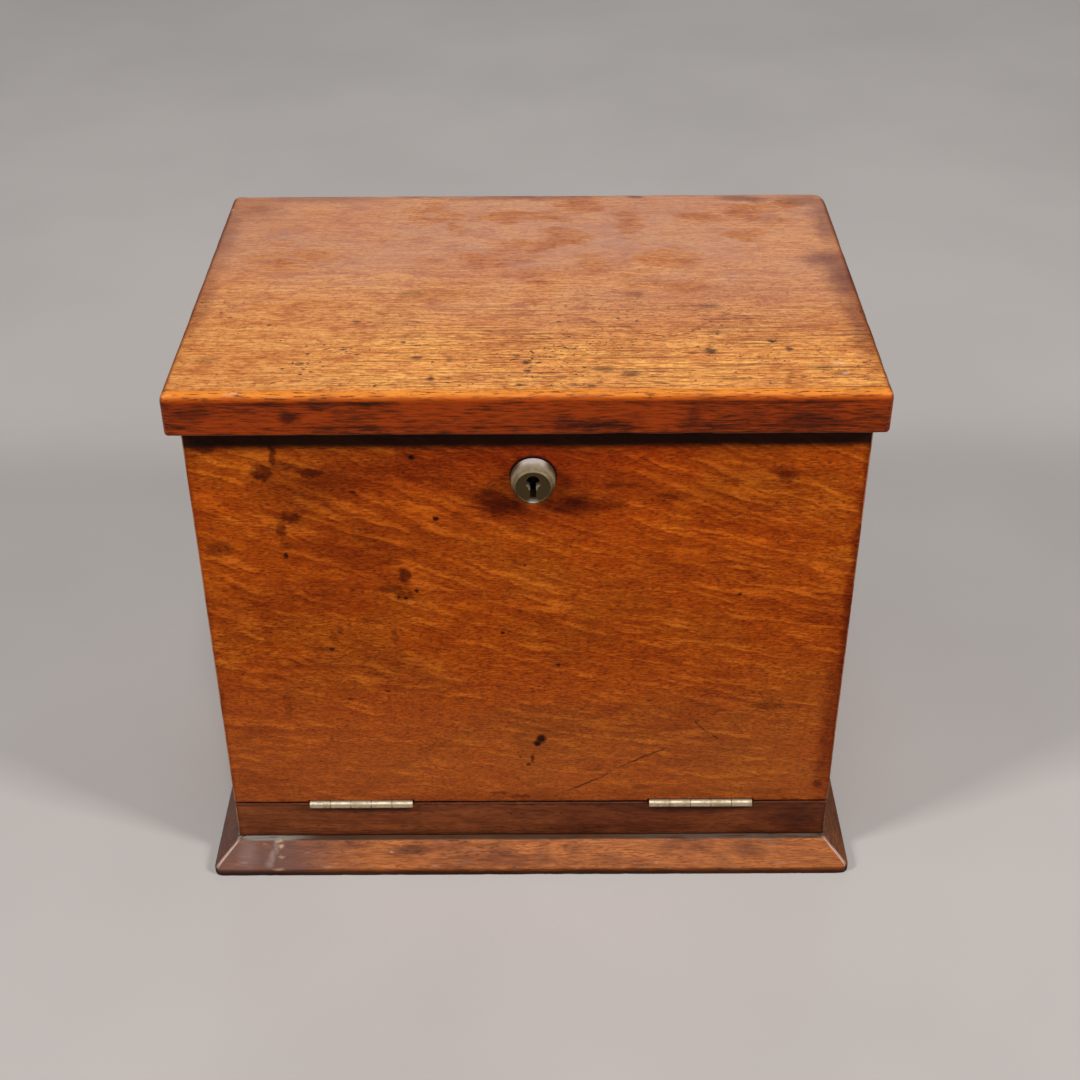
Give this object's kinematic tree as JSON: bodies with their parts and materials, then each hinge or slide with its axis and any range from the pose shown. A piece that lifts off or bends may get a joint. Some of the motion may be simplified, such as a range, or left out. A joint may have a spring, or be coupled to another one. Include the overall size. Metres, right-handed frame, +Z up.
{
  "type": "writing box",
  "caption": "Oak writing box with a hinged overhanging lid, a fall front on brass butt hinges, a nozzle lock, a chamfered plinth, a letter rack and a pen tray with inkwells.",
  "frame": {"origin": "on the table under the middle of the box", "axes": "+Z up, the front faces -Y, +X to the right as seen from the front"},
  "size_m": [0.3156, 0.2176, 0.2701],
  "materials": {
    "oak_front": "waxed, worn",
    "oak_lid": "waxed, hazed and worn",
    "oak_case": "waxed",
    "oak_plinth": "waxed, worn at the arrises",
    "oak_inside": "bare, dry",
    "brass": "tarnished, rubbed bright at the edges",
    "leather": "thin, smooth",
    "glass": "clear"
  },
  "bodies": {
    "case": {"plinth_front": "oak_plinth", "plinth_left": "oak_plinth", "plinth_right": "oak_plinth", "plinth_back": "oak_plinth", "side_left": "oak_case", "side_right": "oak_case", "back_panel": "oak_case", "base_board": "oak_inside", "front_rail": "oak_front", "rack_front": "oak_inside", "rack_middle": "oak_inside", "rack_back": "oak_inside", "rack_cross_left": "oak_inside", "rack_cross_right": "oak_inside", "pen_tray": "oak_inside", "fall_hinge_left_rail_leaf": "brass", "fall_hinge_left_pin": "brass", "fall_hinge_right_rail_leaf": "brass", "fall_hinge_right_pin": "brass", "lid_hinge_left_case_leaf": "brass", "lid_hinge_left_pin": "brass", "lid_hinge_right_case_leaf": "brass", "lid_hinge_right_pin": "brass"},
    "fall": {"fall_front": "oak_front", "writing_leather": "leather", "lock_case": "brass", "lock_plate": "brass", "lock_nozzle": "brass", "fall_hinge_left_fall_leaf": "brass", "fall_hinge_right_fall_leaf": "brass"},
    "bolt": {"lock_bolt": "brass"},
    "lid": {"lid_board": "oak_lid", "link_plate": "brass", "lid_hinge_left_lid_leaf": "brass", "lid_hinge_right_lid_leaf": "brass"},
    "ink_bottle_left": {"inkwell_left": "glass"},
    "ink_bottle_right": {"inkwell_right": "glass"},
    "ink_cap_left": {"inkwell_cap_left": "brass"},
    "ink_cap_right": {"inkwell_cap_right": "brass"}
  },
  "joints": [
    {"name": "lid_swing", "type": "hinge", "parent": "case", "child": "lid", "pos_m": [0, 0.1068, 0.25035], "axis": [-1, 0, 0], "range_deg": [0, 105]},
    {"name": "fall_swing", "type": "hinge", "parent": "case", "child": "fall", "pos_m": [0, -0.0958, 0.0361], "axis": [1, 0, 0], "range_deg": [0, 98]},
    {"name": "bolt_throw", "type": "slide", "parent": "fall", "child": "bolt", "axis": [1, 0, 0], "range_m": [0, 0.005]},
    {"name": "ink_bottle_left_lift", "type": "slide", "parent": "case", "child": "ink_bottle_left", "axis": [0, 0, 1], "range_m": [0, 0.08]},
    {"name": "ink_bottle_right_lift", "type": "slide", "parent": "case", "child": "ink_bottle_right", "axis": [0, 0, 1], "range_m": [0, 0.08]},
    {"name": "ink_cap_left_lift", "type": "slide", "parent": "ink_bottle_left", "child": "ink_cap_left", "axis": [0, 0, 1], "range_m": [0, 0.03]},
    {"name": "ink_cap_right_lift", "type": "slide", "parent": "ink_bottle_right", "child": "ink_cap_right", "axis": [0, 0, 1], "range_m": [0, 0.03]}
  ]
}
